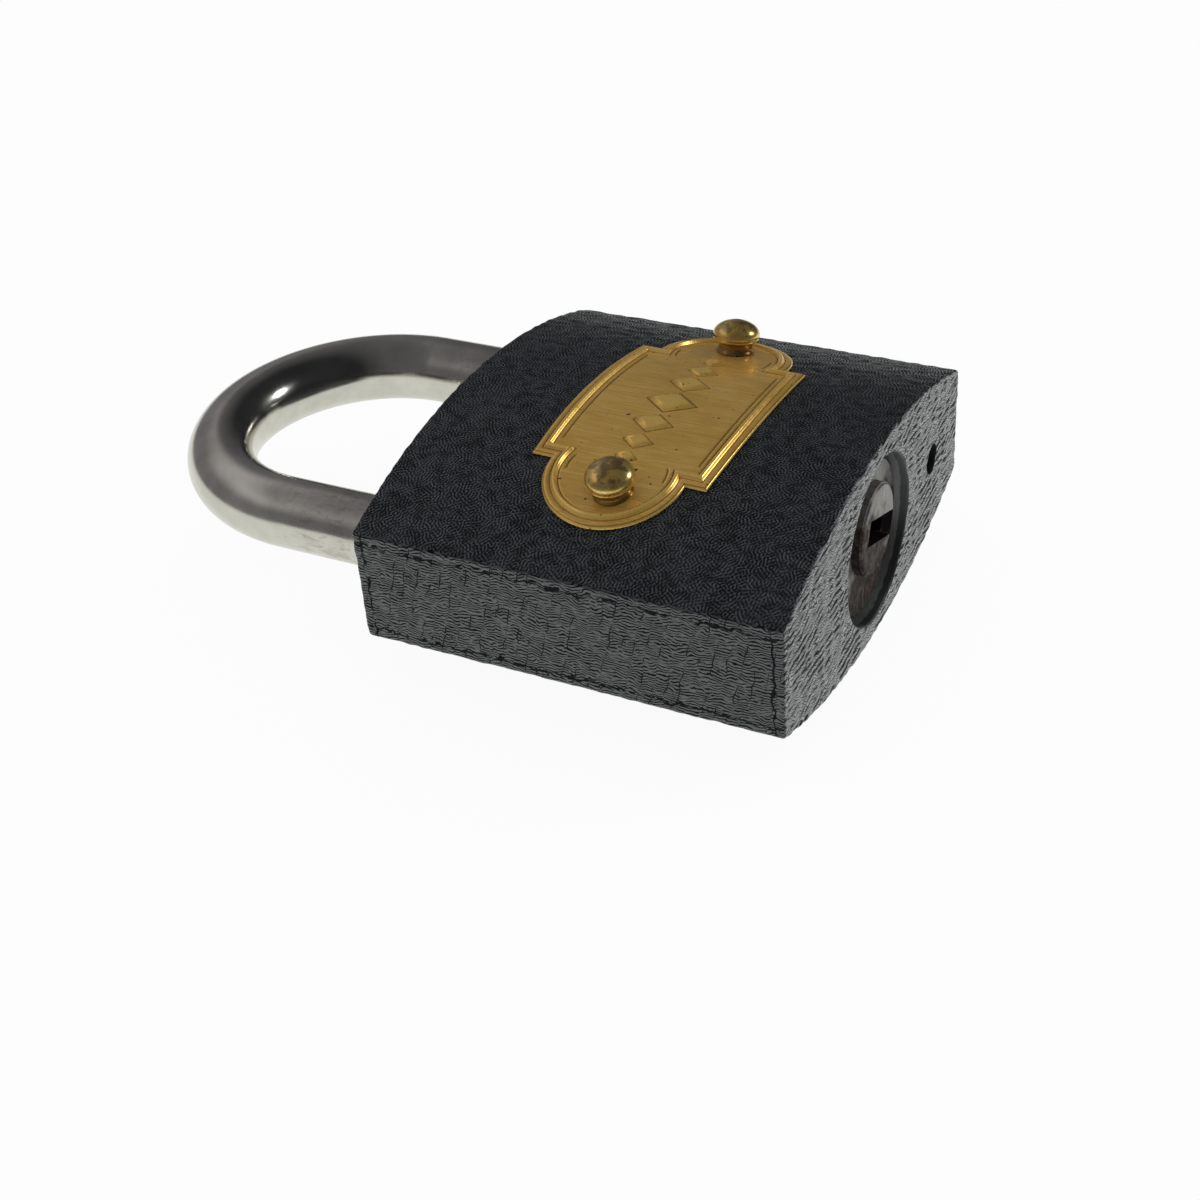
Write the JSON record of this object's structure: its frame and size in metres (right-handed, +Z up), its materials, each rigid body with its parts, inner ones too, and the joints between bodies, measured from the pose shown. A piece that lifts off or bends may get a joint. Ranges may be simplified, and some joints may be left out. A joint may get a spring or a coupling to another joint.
{
  "type": "padlock",
  "caption": "Cast-iron padlock with bowed faces, a steel U shackle, a riveted brass badge and a turning key plug.",
  "frame": {"origin": "under the middle of the whole lock, on the surface that it lies on with the badge up", "axes": "+X across the body towards the heel leg, +Y from the key face towards the shackle's crown, +Z up out of the badge"},
  "size_m": [0.05, 0.0786, 0.024],
  "materials": {
    "wrinkle_paint": "black wrinkle paint",
    "shackle_steel": "polished plating",
    "badge_brass": "brushed, pressed sheet",
    "rivet_brass": "bright rolled head",
    "cylinder_metal": "turned face",
    "plug_metal": "turned face",
    "bolt_steel": "bright drawn",
    "tumbler_brass": "turned",
    "spring_steel": "drawn wire"
  },
  "bodies": {
    "case": {"lock_body": "wrinkle_paint", "cylinder_shell": "cylinder_metal", "cylinder_pin": "bolt_steel", "shackle_retaining_pin": "bolt_steel", "chamber_caps": "tumbler_brass", "badge_plate": "badge_brass", "badge_rivet_toe_side": "rivet_brass", "badge_rivet_heel_side": "rivet_brass", "shackle_spring": "spring_steel", "bolt_spring": "spring_steel", "tumbler_spring_1": "spring_steel", "tumbler_spring_2": "spring_steel", "tumbler_spring_3": "spring_steel", "tumbler_spring_4": "spring_steel", "tumbler_spring_5": "spring_steel"},
    "shackle": {"shackle": "shackle_steel"},
    "plug": {"key_plug": "plug_metal"},
    "bolt": {"locking_bolt": "bolt_steel"},
    "driver_pin_1": {"driver_pin_1": "tumbler_brass"},
    "driver_pin_2": {"driver_pin_2": "tumbler_brass"},
    "driver_pin_3": {"driver_pin_3": "tumbler_brass"},
    "driver_pin_4": {"driver_pin_4": "tumbler_brass"},
    "driver_pin_5": {"driver_pin_5": "tumbler_brass"},
    "key_pin_1": {"key_pin_1": "tumbler_brass"},
    "key_pin_2": {"key_pin_2": "tumbler_brass"},
    "key_pin_3": {"key_pin_3": "tumbler_brass"},
    "key_pin_4": {"key_pin_4": "tumbler_brass"},
    "key_pin_5": {"key_pin_5": "tumbler_brass"}
  },
  "joints": [
    {"name": "shackle_lift", "type": "slide", "parent": "case", "child": "shackle", "axis": [0, 1, 0], "range_m": [0, 0.014], "deforming": ["shackle_spring"]},
    {"name": "plug_turn", "type": "hinge", "parent": "case", "child": "plug", "pos_m": [0, -0.03935, 0.0121], "axis": [0, -1, 0], "range_deg": [0, 110]},
    {"name": "bolt_slide", "type": "slide", "parent": "case", "child": "bolt", "axis": [-1, 0, 0], "range_m": [0, 0.00295], "deforming": ["bolt_spring"]},
    {"name": "driver_pin_1_slide", "type": "slide", "parent": "case", "child": "driver_pin_1", "axis": [0, 0, -1], "range_m": [0, 0.0005], "stiffness_N_per_m": 100, "springref_m": -0.0005, "deforming": ["tumbler_spring_1"]},
    {"name": "driver_pin_2_slide", "type": "slide", "parent": "case", "child": "driver_pin_2", "axis": [0, 0, -1], "range_m": [0, 0.0005], "stiffness_N_per_m": 100, "springref_m": -0.0005, "deforming": ["tumbler_spring_2"]},
    {"name": "driver_pin_3_slide", "type": "slide", "parent": "case", "child": "driver_pin_3", "axis": [0, 0, -1], "range_m": [0, 0.0005], "stiffness_N_per_m": 100, "springref_m": -0.0005, "deforming": ["tumbler_spring_3"]},
    {"name": "driver_pin_4_slide", "type": "slide", "parent": "case", "child": "driver_pin_4", "axis": [0, 0, -1], "range_m": [0, 0.0005], "stiffness_N_per_m": 100, "springref_m": -0.0005, "deforming": ["tumbler_spring_4"]},
    {"name": "driver_pin_5_slide", "type": "slide", "parent": "case", "child": "driver_pin_5", "axis": [0, 0, -1], "range_m": [0, 0.0005], "stiffness_N_per_m": 100, "springref_m": -0.0005, "deforming": ["tumbler_spring_5"]},
    {"name": "key_pin_1_slide", "type": "slide", "parent": "plug", "child": "key_pin_1", "axis": [0.9397, 0, -0.342], "range_m": [0, 0.0008]},
    {"name": "key_pin_2_slide", "type": "slide", "parent": "plug", "child": "key_pin_2", "axis": [0.9397, 0, -0.342], "range_m": [0, 0.0008]},
    {"name": "key_pin_3_slide", "type": "slide", "parent": "plug", "child": "key_pin_3", "axis": [0.9397, 0, -0.342], "range_m": [0, 0.0008]},
    {"name": "key_pin_4_slide", "type": "slide", "parent": "plug", "child": "key_pin_4", "axis": [0.9397, 0, -0.342], "range_m": [0, 0.0008]},
    {"name": "key_pin_5_slide", "type": "slide", "parent": "plug", "child": "key_pin_5", "axis": [0.9397, 0, -0.342], "range_m": [0, 0.0008]}
  ],
  "couplings": [
    {"joint": "bolt_slide", "follows": "plug_turn", "m_per_rad": 0.001536}
  ]
}
